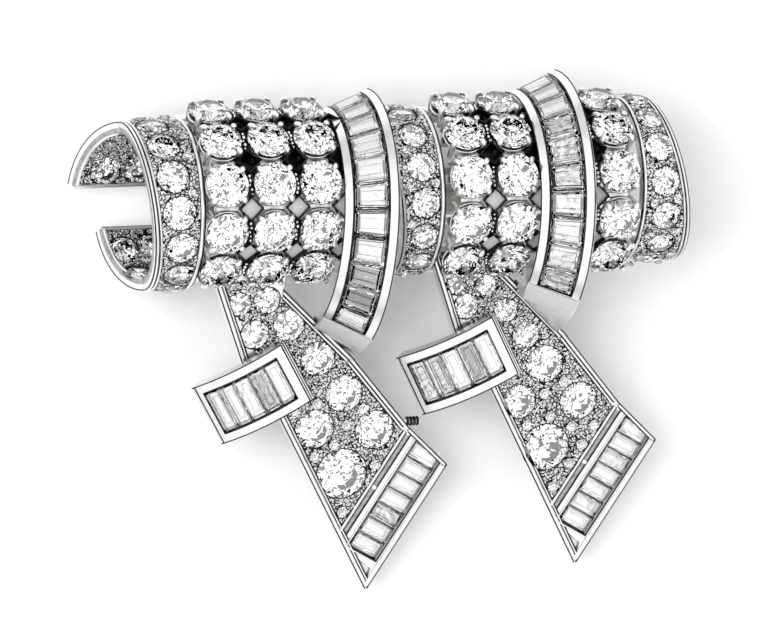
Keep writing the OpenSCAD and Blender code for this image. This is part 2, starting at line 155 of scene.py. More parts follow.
world = bpy.data.worlds.new("studio")
world.use_nodes = True
bpy.context.scene.world = world
tree = world.node_tree
tree.nodes.clear()
where = add_node(tree, "TexCoord")
panels = add_node(tree, "TexVoronoi", {"feature": "DISTANCE_TO_EDGE"},
                  {"Vector": where.outputs["Generated"], "Scale": PANEL_COUNT})
cloth = add_node(tree, "Math", {"operation": "GREATER_THAN"},
                 {0: panels.outputs["Distance"], 1: TAPE_WIDTH})
split = add_node(tree, "SeparateXYZ", {}, {0: where.outputs["Generated"]})
high = add_node(tree, "Math", {"operation": "GREATER_THAN"}, {0: split.outputs["Z"], 1: LOW_EDGE})
lit = add_node(tree, "Math", {"operation": "MULTIPLY"}, {0: cloth.outputs[0], 1: high.outputs[0]})
level = add_node(tree, "Math", {"operation": "MULTIPLY"}, {0: lit.outputs[0], 1: TENT_BRIGHTNESS})
white = from_hex("#FFFFFF")
tent = add_node(tree, "Background", {}, {"Color": white, "Strength": level.outputs[0]})
even = add_node(tree, "Background", {}, {"Color": white, "Strength": EVEN_LIGHT})
plain = add_node(tree, "Background", {}, {"Color": white, "Strength": 1.0})
path = add_node(tree, "LightPath")
soft = add_node(tree, "MixShader", {},
                {0: path.outputs["Is Diffuse Ray"], 1: tent.outputs[0], 2: even.outputs[0]})
both = add_node(tree, "MixShader", {},
                {0: path.outputs["Is Camera Ray"], 1: soft.outputs[0], 2: plain.outputs[0]})
add_node(tree, "OutputWorld", {}, {"Surface": both.outputs[0]})

lamp_data = bpy.data.lights.new("lamp_left", "AREA")
lamp_data.energy = LAMP_POWER
lamp_data.size = LAMP_SIZE
lamp = bpy.data.objects.new("lamp_left", lamp_data)
bpy.context.scene.collection.objects.link(lamp)
lamp.location = LAMP_PLACE
lamp.rotation_euler = (Vector((0, 0, 0.01)) - lamp.location).to_track_quat("-Z", "Y").to_euler()
lamp.visible_glossy = False
lamp.visible_transmission = False

# The two clips' metal
# Platinum, cast and soldered, then polished: a white metal with a faint warm grey in its mirror.
# Beside stones and in corners an occlusion node darkens its colour: painted shade.

CORNER_REACH = 0.6
RUBS_PER_MM = 0.9
platinum, tree, where = new_material("polished_platinum")
# Painted shade: the colour goes near black where other metal is close, in corners and beside stones
corner_shade = add_node(tree, "AmbientOcclusion", {"samples": 4}, {"Distance": CORNER_REACH * MM})
tone = add_node(tree, "ValToRGB", {}, {"Fac": corner_shade.outputs["AO"]})
dark, light = tone.color_ramp.elements
dark.position = 0.2
dark.color = from_hex("#232325")
light.position = 0.7
light.color = from_hex("#F2F1EF")
rub = add_node(tree, "TexNoise", {}, {"Vector": where, "Scale": RUBS_PER_MM / MM, "Detail": 3.0})
dents = add_node(tree, "Bump", {},
                 {"Height": rub.outputs["Fac"], "Strength": 0.05, "Distance": 0.03 * MM})
shade = add_node(tree, "BsdfPrincipled", {},
                 {"Base Color": tone.outputs[0], "Normal": dents.outputs[0],
                  "Metallic": 1.0, "Roughness": 0.3})
add_node(tree, "OutputMaterial", {}, {"Surface": shade.outputs[0]})

for name in ("clip_mount_left", "clip_mount_right"):
    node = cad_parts[name]
    node.data.materials.clear()
    node.data.materials.append(platinum)

# The fittings on the back
# Two sprung flaps and the frame with its pin, of white gold. They were filed and drawn over fine
# paper one way, and never polished, so they are greyer, with soft streaks.

# The paper's streaks are far finer, and are drawn wide enough to show
STREAKS_ALONG_PER_MM = 0.06
STREAKS_ACROSS_PER_MM = 2.6
satin, tree, where = new_material("satin_white_gold")
across = STREAKS_ACROSS_PER_MM / MM
stretch = add_node(tree, "Mapping", {},
                   {"Vector": where, "Scale": (STREAKS_ALONG_PER_MM / MM, across, across)})
lines = add_node(tree, "TexNoise", {}, {"Vector": stretch.outputs[0], "Scale": 1.0, "Detail": 4.0})
tone = add_node(tree, "ValToRGB", {}, {"Fac": lines.outputs["Fac"]})
dark, light = tone.color_ramp.elements
dark.position = 0.3
dark.color = from_hex("#8E8E8C")
light.position = 0.7
light.color = from_hex("#B9B8B6")
dents = add_node(tree, "Bump", {},
                 {"Height": lines.outputs["Fac"], "Strength": 0.25, "Distance": 0.04 * MM})
shade = add_node(tree, "BsdfPrincipled", {},
                 {"Base Color": tone.outputs[0], "Normal": dents.outputs[0],
                  "Metallic": 1.0, "Roughness": 0.34})
add_node(tree, "OutputMaterial", {}, {"Surface": shade.outputs[0]})

# The same gold left matt by a sand blast, for small plates in the gallery, the arcs and the end frames.
# The blast's grit is drawn coarser than it is.
GRIT_PER_MM = 5
pale, tree, where = new_material("matt_white_gold")
sand = add_node(tree, "TexNoise", {}, {"Vector": where, "Scale": GRIT_PER_MM / MM, "Detail": 1.0})
tone = add_node(tree, "ValToRGB", {}, {"Fac": sand.outputs["Fac"]})
tone.color_ramp.elements[0].color = from_hex("#C2C2C0")
tone.color_ramp.elements[1].color = from_hex("#DADAD8")
shade = add_node(tree, "BsdfPrincipled", {},
                 {"Base Color": tone.outputs[0], "Metallic": 0.4, "Roughness": 0.6})
add_node(tree, "OutputMaterial", {}, {"Surface": shade.outputs[0]})

for name in ("clip_flap_left", "clip_flap_right", "brooch_frame"):
    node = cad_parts[name]
    node.data.materials.clear()
    node.data.materials.append(satin)

# The claw-set stones
# Round diamonds of about a quarter of a carat, each in a collet, cut with 57 facets. A disc is ground
# on one flat after another, above and below its girdle, and last on the table.

# Diamond, ground on a scaife: clear and very bright, with facets that are a little uneven
WEAR_PER_MM = 1.8
diamond, tree, where = new_material("cut_diamond")
wear = add_node(tree, "TexNoise", {}, {"Vector": where, "Scale": WEAR_PER_MM / MM, "Detail": 0.0})
dents = add_node(tree, "Bump", {},
                 {"Height": wear.outputs["Fac"], "Strength": 0.12, "Distance": 0.04 * MM})
shade = add_node(tree, "BsdfPrincipled", {},
                 {"Normal": dents.outputs[0], "Base Color": white, "Roughness": 0.0, "IOR": 2.417,
                  "Transmission Weight": 1.0})
add_node(tree, "OutputMaterial", {}, {"Surface": shade.outputs[0]})

STONE_SIZE = 4.2
GIRDLE_RADIUS = 9.2
ROW_ANGLES = (67, 37, 7, -23, -53)
FACE_TURNS = (7, 0, 0, 0, -9)
LEFT_COLUMNS = (-18.5, -13.7, -9.0)
RIGHT_COLUMNS = (6.6, 11.4)
LAST_COLUMN = 22.2
# Angles of the facets, and how far out they meet the girdle, on a stone of diameter 1
CROWN_MAIN = 34.5
CROWN_GIRDLE = 41.0
STAR = 23.0
PAVILION_MAIN = 40.8
PAVILION_GIRDLE = 42.2
MAIN_REACH = 0.5
GIRDLE_REACH = 0.497
TABLE_REACH = 0.285
EDGE = 0.012


def start_editing():
    bpy.ops.object.mode_set(mode="EDIT")


def stop_editing():
    bpy.ops.object.mode_set(mode="OBJECT")


# Cuts one flat: its slope, and a point on it at a reach from the stone's axis and a height
def grind(azimuth, slope, reach, height):
    out = math.sin(math.radians(slope))
    up = math.copysign(math.cos(math.radians(slope)), height)
    spin = math.radians(azimuth)
    flat = (out * math.cos(spin), out * math.sin(spin), up)
    point = (reach * math.cos(spin), reach * math.sin(spin), height)
    bpy.ops.mesh.select_all(action="SELECT")
    bpy.ops.mesh.bisect(plane_co=point, plane_no=flat, use_fill=True, clear_outer=True, threshold=0.00001)


clear_selection()
bpy.ops.mesh.primitive_cylinder_add(vertices=32, radius=0.5, depth=1.2)
brilliant = bpy.context.object
start_editing()
crown_height = EDGE + (MAIN_REACH - TABLE_REACH) * math.tan(math.radians(CROWN_MAIN))
for k in range(8):
    grind(45 * k, CROWN_MAIN, MAIN_REACH, EDGE)
    grind(45 * k + 11.25, CROWN_GIRDLE, GIRDLE_REACH, EDGE)
    grind(45 * k - 11.25, CROWN_GIRDLE, GIRDLE_REACH, EDGE)
    grind(45 * k + 22.5, STAR, TABLE_REACH * math.cos(math.radians(22.5)), crown_height)
    grind(45 * k, PAVILION_MAIN, MAIN_REACH, -EDGE)
    grind(45 * k + 11.25, PAVILION_GIRDLE, GIRDLE_REACH, -EDGE)
    grind(45 * k - 11.25, PAVILION_GIRDLE, GIRDLE_REACH, -EDGE)
grind(0, 0, 0, crown_height)
stop_editing()


def moved(x, y, z):
    return Matrix.Translation((x, y, z))


def turned(degrees, axis):
    return Matrix.Rotation(math.radians(degrees), 4, axis)


def roll_place(x, angle, radius):
    return moved(x, 0, 0) @ turned(-angle, "X") @ moved(0, 0, radius)


def girdle_place(x, row):
    face_turn = turned(FACE_TURNS[row], "X")
    return roll_place(x, ROW_ANGLES[row], GIRDLE_RADIUS) @ face_turn


# Joins copies of shapes, each at its place in millimetres from the roll's axis, into one piece
def make_piece(name, parts, material):
    work = bmesh.new()
    to_frame = Matrix.Scale(MM, 4) @ Matrix.Translation(ROLL_AXIS)
    for shape, place in parts:
        one = shape.data.copy()
        one.transform(to_frame @ place)
        work.from_mesh(one)
        bpy.data.meshes.remove(one)
    made = bpy.data.objects.new(name, bpy.data.meshes.new(name))
    work.to_mesh(made.data)
    work.free()
    bpy.context.scene.collection.objects.link(made)
    made.data.materials.append(material)
    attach(made, "root")
    return made


def copies(name, pattern, places, material):
    return make_piece(name, [(pattern, place) for place in places], material)


def sized(d):
    return Matrix.Scale(d, 4)


claw_places = []
seat_places = []
for family, columns in (("stone_left_{}_{}", LEFT_COLUMNS), ("stone_right_{}_{}", RIGHT_COLUMNS),
                        ("stone_column_{}", (LAST_COLUMN,))):
    for row in range(5):
        for number, x in enumerate(columns):
            node = family.format(row + 1, number + 1)
            spin = turned(17 * (row + 3 * number), "Z")
            seat = girdle_place(x, row)
            cut = copies("cut_" + node, brilliant, [seat @ spin @ sized(STONE_SIZE)], diamond)
            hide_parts(node)
            seat_places.append(seat)
            claw_places += [seat @ turned(45 + 90 * k, "Z") for k in range(4)]

# The claws
# Four platinum wires round each stone, soldered to its collet, filed thin and bent over the
# girdle, with the end rounded to a bead.

CLAW_RADIUS = 0.3
CLAW_LENGTH = 1.7
# How the wire's end moves at each bend, and by how much it narrows there
CLAW_BENDS = (
    ((-0.02, 0, 0.22), 1.0),
    ((-0.1, 0, 0.2), 0.95),
    ((-0.16, 0, 0.12), 0.75),
    ((-0.06, 0, 0.04), 0.5),
)


# Selects, in edit mode, the faces of a shape that look straight up, or straight down
def select_ends(shape, way):
    mesh = bmesh.from_edit_mesh(shape.data)
    for face in mesh.faces:
        face.select = way * face.normal.z > 0.9
    bmesh.update_edit_mesh(shape.data)


clear_selection()
bpy.ops.mesh.primitive_cylinder_add(vertices=10, radius=CLAW_RADIUS, depth=CLAW_LENGTH,
                                    location=(STONE_SIZE / 2 + 0.12, 0, -CLAW_LENGTH / 2))
claw = bpy.context.object
start_editing()
select_ends(claw, 1)
for move, size in CLAW_BENDS:
    bpy.ops.mesh.extrude_region_move(TRANSFORM_OT_translate={"value": move})
    bpy.ops.transform.resize(value=(size, size, 1))
stop_editing()
bpy.ops.object.transform_apply(location=True)
claw.data.shade_smooth()
copies("claws", claw, claw_places, platinum)

# The collet rings
# A round platinum wire, bent to a ring and soldered round the mouth of each collet, with a dark gap
# between it and the stone.

RING_RADIUS = 2.0
RING_WIRE = 0.13
RING_DEPTH = 0.66

clear_selection()
bpy.ops.mesh.primitive_torus_add(major_radius=RING_RADIUS, minor_radius=RING_WIRE, major_segments=32,
                                 minor_segments=8, location=(0, 0, -RING_DEPTH))
collet_ring = bpy.context.object
bpy.ops.object.transform_apply(location=True)
collet_ring.data.shade_smooth()
copies("collet_rings", collet_ring, seat_places, platinum)

# The gallery
# Between the collets stand diamond-shaped platinum frames, coloured black as painted shade, as
# are the bars across and the strips of painted shade behind the upper rows. The bars down each column are
# polished.

# Platinum coloured patchy black and dull: painted shade, for the dark lines, gaps and hollows
PATCHES_PER_MM = 0.7
painted_shade, tree, where = new_material("platinum_painted_shade")
patch = add_node(tree, "TexNoise", {}, {"Vector": where, "Scale": PATCHES_PER_MM / MM, "Detail": 3.0})
# Painted shade: the colour runs in patches from near black to dark grey
tone = add_node(tree, "ValToRGB", {}, {"Fac": patch.outputs["Fac"]})
dark, light = tone.color_ramp.elements
dark.position = 0.35
dark.color = from_hex("#141416")
light.position = 0.7
light.color = from_hex("#424244")
shade = add_node(tree, "BsdfPrincipled", {},
                 {"Base Color": tone.outputs[0], "Metallic": 1.0, "Roughness": 0.45})
add_node(tree, "OutputMaterial", {}, {"Surface": shade.outputs[0]})

FRAME_REACH = 1.25
FRAME_RADIUS = 8.85
LINK_LENGTH = 2.3
LINK_RADIUS = 8.3
NECK_RADIUS = 8.65
BACK_RADIUS = 7.6
BACK_WIDTH = 3.8
BACK_HEIGHT = 0.16
BACK_FROM = 9
BACK_TO = 74
# From the last column before an arc to the frames beside it, and from the frames to the last column
BEFORE_ARC = 2.35
BEFORE_LAST = 2.4
PLATE_DROP = 0.22

clear_selection()
bpy.ops.mesh.primitive_cylinder_add(vertices=4, radius=FRAME_REACH, depth=0.6, end_fill_type="NOTHING")
opening_frame = bpy.context.object
for kind, settings in (("SOLIDIFY", {"thickness": 0.17, "offset": -1}),
                       ("BEVEL", {"width": 0.04, "segments": 2})):
    step = opening_frame.modifiers.new(kind, kind)
    for name, value in settings.items():
        setattr(step, name, value)
    bpy.ops.object.modifier_apply(modifier=kind)

# A thin pale grey plate sits in each lower frame: painted shade, standing for the shaded surface seen
# through the openings
clear_selection()
bpy.ops.mesh.primitive_cylinder_add(vertices=4, radius=FRAME_REACH - 0.08, depth=0.1)
window_shade_plate = bpy.context.object

clear_selection()
bpy.ops.mesh.primitive_cube_add(size=1, scale=(LINK_LENGTH, 0.62, 0.5))
link = bpy.context.object
bpy.ops.object.transform_apply(scale=True)
start_editing()
select_ends(link, 1)
bpy.ops.mesh.inset(thickness=0.14, depth=-0.12)
stop_editing()


# A flattened wire bent round the roll's axis, and leaned so that it follows its edge
def bent_wire(radius, x, width, height, start, stop, edge=lambda y, z: 0):
    clear_selection()
    bpy.ops.mesh.primitive_circle_add(vertices=8, radius=0.5, fill_type="NGON",
                                      rotation=(math.pi / 2, 0, 0))
    wire = bpy.context.object
    wire.scale = (width, height, 1)
    bpy.ops.object.transform_apply(rotation=True, scale=True)
    wire.data.transform(turned(-start, "X") @ moved(x, 0, radius))
    start_editing()
    bpy.ops.mesh.select_all(action="SELECT")
    steps = max(8, int((stop - start) / 2.5))
    bpy.ops.mesh.spin(steps=steps, angle=math.radians(stop - start), center=(0, 0, 0), axis=(1, 0, 0))
    bpy.ops.mesh.select_all(action="SELECT")
    bpy.ops.mesh.remove_doubles(threshold=0.001)
    bpy.ops.mesh.normals_make_consistent(inside=False)
    stop_editing()
    for v in wire.data.vertices:
        v.co.x += edge(v.co.y, v.co.z)
    bpy.ops.object.shade_smooth_by_angle(angle=math.radians(50))
    return wire


# Joins wires that were bent at their own place on the roll, and lifts or leans them together
def wire_piece(name, wires, place, material):
    made = make_piece(name, [(wire, place) for wire in wires], material)
    for wire in wires:
        bpy.data.objects.remove(wire)
    return made


MIDDLE_ANGLES = [(a + b) / 2 for a, b in zip(ROW_ANGLES, ROW_ANGLES[1:])]
QUARTER = Matrix.Rotation(math.pi / 2, 4, "Z")
BETWEEN = [(a + b) / 2 for a, b in zip(LEFT_COLUMNS, LEFT_COLUMNS[1:])]
BETWEEN += [sum(RIGHT_COLUMNS) / 2, LAST_COLUMN - BEFORE_LAST]
BESIDE_ARCS = [LEFT_COLUMNS[-1] + BEFORE_ARC, RIGHT_COLUMNS[-1] + BEFORE_ARC]
ALL_COLUMNS = LEFT_COLUMNS + RIGHT_COLUMNS + (LAST_COLUMN,)
frame_places = [roll_place(x, a, FRAME_RADIUS) for x in BETWEEN + BESIDE_ARCS for a in MIDDLE_ANGLES]
link_places = [roll_place(x, a, LINK_RADIUS) for x in ALL_COLUMNS for a in MIDDLE_ANGLES]
neck_places = [roll_place(x, a, NECK_RADIUS) @ QUARTER for x in BETWEEN for a in ROW_ANGLES]
plate_places = [roll_place(x, a, FRAME_RADIUS - PLATE_DROP)
                for x in BETWEEN + BESIDE_ARCS for a in MIDDLE_ANGLES[2:]]
# Dark strips of painted shade, behind the upper rows' openings
shade_strips = [bent_wire(BACK_RADIUS, x, BACK_WIDTH, BACK_HEIGHT, BACK_FROM, BACK_TO)
         for x in BETWEEN + BESIDE_ARCS]
copies("gallery_frames", opening_frame, frame_places, painted_shade)
copies("gallery_links", link, link_places, platinum)
copies("gallery_necks", link, neck_places, painted_shade)
# The lower frames' plates are painted shade
copies("gallery_shade_plates", window_shade_plate, plate_places, pale)
wire_piece("gallery_shade_strips", shade_strips, Matrix(), painted_shade)

# The small stones and grains
# Between the larger stones the metal is set with a few stones of about a millimetre, and all of it
# is cut up into grains, little beads raised with a graver and left bright on a stippled ground whose
# dark pits are painted shade.

# Heights and table of a small stone of diameter 1
SMALL_CROWN = 0.16
SMALL_TABLE = 0.58
SMALL_PAVILION = 0.4

clear_selection()
bpy.ops.mesh.primitive_cylinder_add(vertices=8, radius=0.5, depth=0.04)
single_cut = bpy.context.object
start_editing()
select_ends(single_cut, 1)
bpy.ops.mesh.extrude_region_move(TRANSFORM_OT_translate={"value": (0, 0, SMALL_CROWN)})
bpy.ops.transform.resize(value=(SMALL_TABLE, SMALL_TABLE, 1))
select_ends(single_cut, -1)
bpy.ops.mesh.extrude_region_move(TRANSFORM_OT_translate={"value": (0, 0, -SMALL_PAVILION)})
bpy.ops.mesh.merge(type="CENTER")
stop_editing()

clear_selection()
bpy.ops.mesh.primitive_ico_sphere_add(subdivisions=1, radius=0.5)
grain = bpy.context.object
start_editing()
bpy.ops.mesh.select_all(action="SELECT")
bpy.ops.mesh.bisect(plane_co=(0, 0, -0.3), plane_no=(0, 0, -1), use_fill=False, clear_outer=True)
stop_editing()
grain.data.shade_smooth()

# The graver's cut round each larger stone, for a stone of diameter 1, drawn as a dark ring of painted shade
SEAT_RADIUS = 0.512
SEAT_LINE = 0.014
clear_selection()
bpy.ops.mesh.primitive_torus_add(major_radius=SEAT_RADIUS, minor_radius=SEAT_LINE, major_segments=28,
                                 minor_segments=6)
seat_shade_line = bpy.context.object

# Platinum pricked all over with a pointed punch: dull, with painted shade in its pits
PITS_PER_MM = 2.5
ground, tree, where = new_material("stippled_platinum")
pits = add_node(tree, "TexVoronoi", {"feature": "DISTANCE_TO_EDGE"},
                {"Vector": where, "Scale": PITS_PER_MM / MM})
# Painted shade: the colour goes near black towards the pits
tone = add_node(tree, "ValToRGB", {}, {"Fac": pits.outputs["Distance"]})
dark, light = tone.color_ramp.elements
dark.position = 0.08
dark.color = from_hex("#101011")
light.position = 0.17
light.color = from_hex("#E6E5E3")
dents = add_node(tree, "Bump", {},
                 {"Height": pits.outputs["Distance"], "Strength": 0.9, "Distance": 0.1 * MM})
shade = add_node(tree, "BsdfPrincipled", {},
                 {"Base Color": tone.outputs[0], "Normal": dents.outputs[0],
                  "Metallic": 1.0, "Roughness": 0.4})
add_node(tree, "OutputMaterial", {}, {"Surface": shade.outputs[0]})

# The grains themselves, turned bright with a hollow punch
GLINTS_PER_MM = 2.4
beaded, tree, where = new_material("bright_cut_platinum")
patch = add_node(tree, "TexNoise", {}, {"Vector": where, "Scale": GLINTS_PER_MM / MM, "Detail": 1.0})
tone = add_node(tree, "ValToRGB", {}, {"Fac": patch.outputs["Fac"]})
dark, light = tone.color_ramp.elements
dark.position = 0.35
dark.color = from_hex("#A9A9A9")
light.position = 0.55
light.color = from_hex("#FBFAF8")
shade = add_node(tree, "BsdfPrincipled", {},
                 {"Base Color": tone.outputs[0], "Metallic": 1.0, "Roughness": 0.18})
add_node(tree, "OutputMaterial", {}, {"Surface": shade.outputs[0]})

hand = random.Random(7)
GRAIN_STEP = 0.31
ROW_STEP = GRAIN_STEP * 0.87
GRAIN_SHIFT = 0.1
GRAIN_LIFT = 0.09
GRAIN_SIZES = (0.15, 0.31)
SMALL_SIZES = (1.15, 0.9)
SMALL_STEP = 0.4
SMALL_APART = 2.2
SMALL_COUNT = 9
SMALL_LIFT = 0.36
small_places = []
# Beads stand in a row on each neck between two collets
NECK_BEADS = (-0.9, -0.45, 0, 0.45, 0.9)
bead_places = [roll_place(x + hand.uniform(-0.12, 0.12), a + math.degrees(run / 9), NECK_RADIUS + 0.3)
               @ sized(hand.uniform(0.32, 0.5)) for x in BETWEEN for a in ROW_ANGLES for run in NECK_BEADS]
copies("neck_beads", grain, bead_places, beaded)


# Sets a field round its larger stones, given as x, y and size: a few small stones, then grains
def set_field(name, to_surface, stones, low, high, inside):
    small = []
    for size in SMALL_SIZES:
        for j in range(int((high[1] - low[1]) / SMALL_STEP)):
            for i in range(int((high[0] - low[0]) / SMALL_STEP)):
                x = low[0] + SMALL_STEP * i
                y = low[1] + SMALL_STEP * j
                clear = all(math.hypot(x - a, y - b) > (size + d) / 2 + 0.1 for a, b, d in stones)
                apart = all(math.hypot(x - a, y - b) > SMALL_APART for a, b, d in small)
                if clear and apart and inside(x, y, size / 2) and len(small) < SMALL_COUNT:
                    small.append((x, y, size))
    for x, y, d in small:
        small_places.append(to_surface(x, y) @ moved(0, 0, SMALL_LIFT * d) @ sized(d))
    taken = list(stones) + small
    beads = []
    for j in range(int((high[1] - low[1]) / ROW_STEP)):
        for i in range(int((high[0] - low[0]) / GRAIN_STEP)):
            size = hand.uniform(*GRAIN_SIZES)
            x = low[0] + (i + 0.5 * (j % 2)) * GRAIN_STEP + hand.uniform(-GRAIN_SHIFT, GRAIN_SHIFT)
            y = low[1] + j * ROW_STEP + hand.uniform(-GRAIN_SHIFT, GRAIN_SHIFT)
            clear = all(math.hypot(x - a, y - b) > (d + size) / 2 + 0.08 for a, b, d in taken)
            if clear and inside(x, y, 0.05):
                beads.append(to_surface(x, y) @ moved(0, 0, GRAIN_LIFT) @ sized(size))
    copies("grains_" + name, grain, beads, beaded)
    seats = [to_surface(x, y) @ sized(d) for x, y, d in stones]
    # Rings of painted shade round the larger stones
    copies("seat_shade_" + name, seat_shade_line, seats, painted_shade)


# The bands
# Curved strips of the ribbon, each with one row of brilliants and drilled holes below them. A wire
# edge, bright on top, runs along each border, with a strip and a line of painted shade beside it.

BAND_RADIUS = 8.3
LEFT_EDGE = -25.9
# The wall ends this many degrees from the crown, on both sides
WALL_END = 163
LINE = 0.13
RIB_PITCH = 0.45
SUNK = 0.15
LEFT_DROP = -0.55
RIGHT_RISE = 0.4
BAND_STEP = 25
FIELD_FROM = -95
FIELD_TO = 108


def band_row(first, middle, slope, size):
    angles = [first + BAND_STEP * k for k in range(-4, 4)]
    return [(middle - slope * BAND_RADIUS * math.sin(math.radians(a)), a, size) for a in angles]


# How far the left end's edge moves along the roll: slanted in front, and longer at the back
def turned_edge(y, z):
    if z >= 0:
        return -0.11 * y
    if y > 0:
        return -0.91 + 0.42 * z
    return 0.91 + 0.31 * z


# Node, lift, stones as x, angle and size, left edge and right edge as x and slope, width of their rims
BANDS = (
    ("band_left", LEFT_DROP, band_row(19, -23.3, 0.12, 3.3), (LEFT_EDGE, -0.11), (-20.6, 0), 0.75, 0.55),
    ("band_middle", 0, band_row(16, 1.9, 0.06, 3.0), (-0.6, -0.12), (4.05, 0), 0.35, 0.55),
    ("band_right", RIGHT_RISE, band_row(22, 27.25, 0.08, 3.0), (24.9, 0), (29.45, -0.165), 0.45, 0.75),
)


# Cuts a round hole for each stone through a thin sheet
def drill(sheet, places, radii):
    clear_selection()
    drills = []
    for place, radius in zip(places, radii):
        bpy.ops.mesh.primitive_cylinder_add(vertices=40, radius=radius, depth=2)
        bpy.context.object.data.transform(place)
        drills.append(bpy.context.object)
    for tool in drills:
        tool.select_set(True)
    bpy.context.view_layer.objects.active = drills[0]
    bpy.ops.object.join()
    tool = bpy.context.object
    cut = sheet.modifiers.new("holes", "BOOLEAN")
    cut.operation = "DIFFERENCE"
    cut.solver = "EXACT"
    cut.use_self = True
    cut.object = tool
    clear_selection()
    bpy.context.view_layer.objects.active = sheet
    sheet.select_set(True)
    bpy.ops.object.modifier_apply(modifier="holes")
    bpy.data.objects.remove(tool)


# The ribs along one border, with a strip of painted shade under them and a line of painted shade at the
# edge
def border(edge_x, width, toward, edge):
    count = max(1, round(width / RIB_PITCH))
    pitch = width / count
    ribs = [bent_wire(BAND_RADIUS + 0.03, edge_x + toward * (k + 0.5) * pitch, 0.7 * pitch, 0.3,
                      -WALL_END, WALL_END, edge) for k in range(count)]
    border_shade_strip = bent_wire(BAND_RADIUS, edge_x + toward * width / 2, width - 0.04, 0.1,
                      -WALL_END, WALL_END, edge)
    border_shade_line = bent_wire(BAND_RADIUS, edge_x + toward * 0.01, LINE, LINE, -WALL_END, WALL_END, edge)
    return ribs, [border_shade_strip, border_shade_line]


for name, lift, stones, left, right, left_rim, right_rim in BANDS:
    raise_band = moved(0, lift, 0)
    seats = [raise_band @ roll_place(x, a, BAND_RADIUS - SUNK) @ sized(d) for x, a, d in stones]
    cut = copies("cut_" + name, brilliant, seats, diamond)
    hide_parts("pave_" + name)
    unrolled = [(x, math.radians(a) * BAND_RADIUS, d) for x, a, d in stones]
    run_from = math.radians(FIELD_FROM) * BAND_RADIUS
    run_to = math.radians(FIELD_TO) * BAND_RADIUS

    def on_band(x, run, reach):
        y = BAND_RADIUS * math.sin(run / BAND_RADIUS)
        start = left[0] + left[1] * y + left_rim + reach
        end = right[0] + right[1] * y - right_rim - reach
        return start < x < end and run_from + reach < run < run_to - reach

    set_field(name, lambda x, run: raise_band @ roll_place(x, math.degrees(run / BAND_RADIUS), BAND_RADIUS),
              unrolled, (left[0] - 2, run_from), (right[0] + 2, run_to), on_band)

    sheet = bent_wire(BAND_RADIUS, 0, 1, 0.05, FIELD_FROM, FIELD_TO)
    for v in sheet.data.vertices:
        share = v.co.x + 0.5
        start = left[0] + left[1] * v.co.y + left_rim - 0.1
        end = right[0] + right[1] * v.co.y - right_rim + 0.1
        v.co.x = start + share * (end - start)
    holes = [roll_place(x, a, BAND_RADIUS) for x, a, d in stones]
    drill(sheet, holes, [d / 2 + 0.03 for x, a, d in stones])
    wire_piece("ground_" + name, [sheet], raise_band, ground)

    ribs = []
    strips = []
    for (edge_x, slope), width, toward in ((left, left_rim, 1), (right, right_rim, -1)):
        slanted = name == "band_left" and toward == 1
        edge = turned_edge if slanted else lambda y, z: slope * y
        some_ribs, some_shade = border(edge_x, width, toward, edge)
        ribs += some_ribs
        strips += some_shade
    wire_piece("rims_" + name, ribs, raise_band, platinum)
    # The borders' strips and lines are painted shade
    wire_piece("shade_lines_" + name, strips, raise_band, painted_shade)

# The turned ends of the left band
# The ribbon's end turns in behind the roll. Its inner face is set as the bands are, and a wire edge
# runs round it, along the cut and along the slanted end of the wall.

